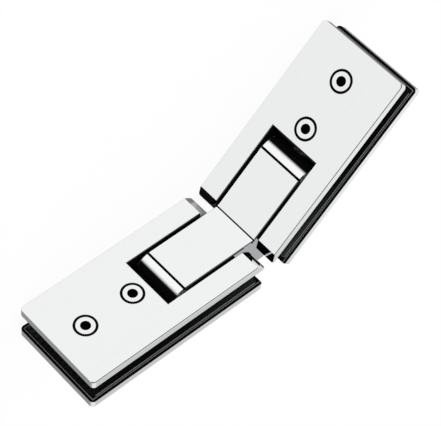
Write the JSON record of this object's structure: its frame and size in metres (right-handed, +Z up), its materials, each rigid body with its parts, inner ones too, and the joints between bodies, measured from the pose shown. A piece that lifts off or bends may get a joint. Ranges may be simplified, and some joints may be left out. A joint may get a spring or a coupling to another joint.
{
  "type": "glass door hinge",
  "caption": "Glass-to-glass door hinge: two clamp leaves swing on sprung pins at the ends of a bent centre block.",
  "frame": {"origin": "under the middle of the bounding box, level with the leaves' lower edges", "axes": "+Z up along both pivot pins, +X from the door's side to the panel's side, -Y out of the inner faces, towards the side where the leaves fold together"},
  "size_m": [0.201, 0.0614, 0.05],
  "materials": {
    "plated_body": "polished plate",
    "screw": "polished plate",
    "pin_steel": "ground",
    "spring_steel": "drawn wire",
    "pad_rubber": "matte",
    "bush_plastic": "satin",
    "nylon": "satin"
  },
  "bodies": {
    "block": {"centre_block": "plated_body", "panel_upper_bush": "bush_plastic", "panel_lower_bush": "bush_plastic", "panel_detent_plunger": "pin_steel", "panel_detent_spring": "spring_steel", "panel_nose_plug": "screw", "door_upper_bush": "bush_plastic", "door_lower_bush": "bush_plastic", "door_detent_plunger": "pin_steel", "door_detent_spring": "spring_steel", "door_nose_plug": "screw"},
    "panel_leaf": {"panel_front_plate": "plated_body", "panel_back_plate": "plated_body", "panel_front_gasket": "pad_rubber", "panel_back_gasket": "pad_rubber", "panel_inner_screw": "screw", "panel_outer_screw": "screw", "panel_glass_sleeve": "nylon", "panel_pivot_pin": "pin_steel"},
    "door_leaf": {"door_front_plate": "plated_body", "door_back_plate": "plated_body", "door_front_gasket": "pad_rubber", "door_back_gasket": "pad_rubber", "door_inner_screw": "screw", "door_outer_screw": "screw", "door_glass_sleeve": "nylon", "door_pivot_pin": "pin_steel"}
  },
  "joints": [
    {"name": "panel_pivot", "type": "hinge", "parent": "block", "child": "panel_leaf", "pos_m": [0.03727, 0.00308, 0.025], "axis": [0, 0, 1], "range_deg": [-90, 90]},
    {"name": "door_pivot", "type": "hinge", "parent": "block", "child": "door_leaf", "pos_m": [-0.03727, 0.00576, 0.025], "axis": [0, 0, 1], "range_deg": [-90, 90]}
  ]
}
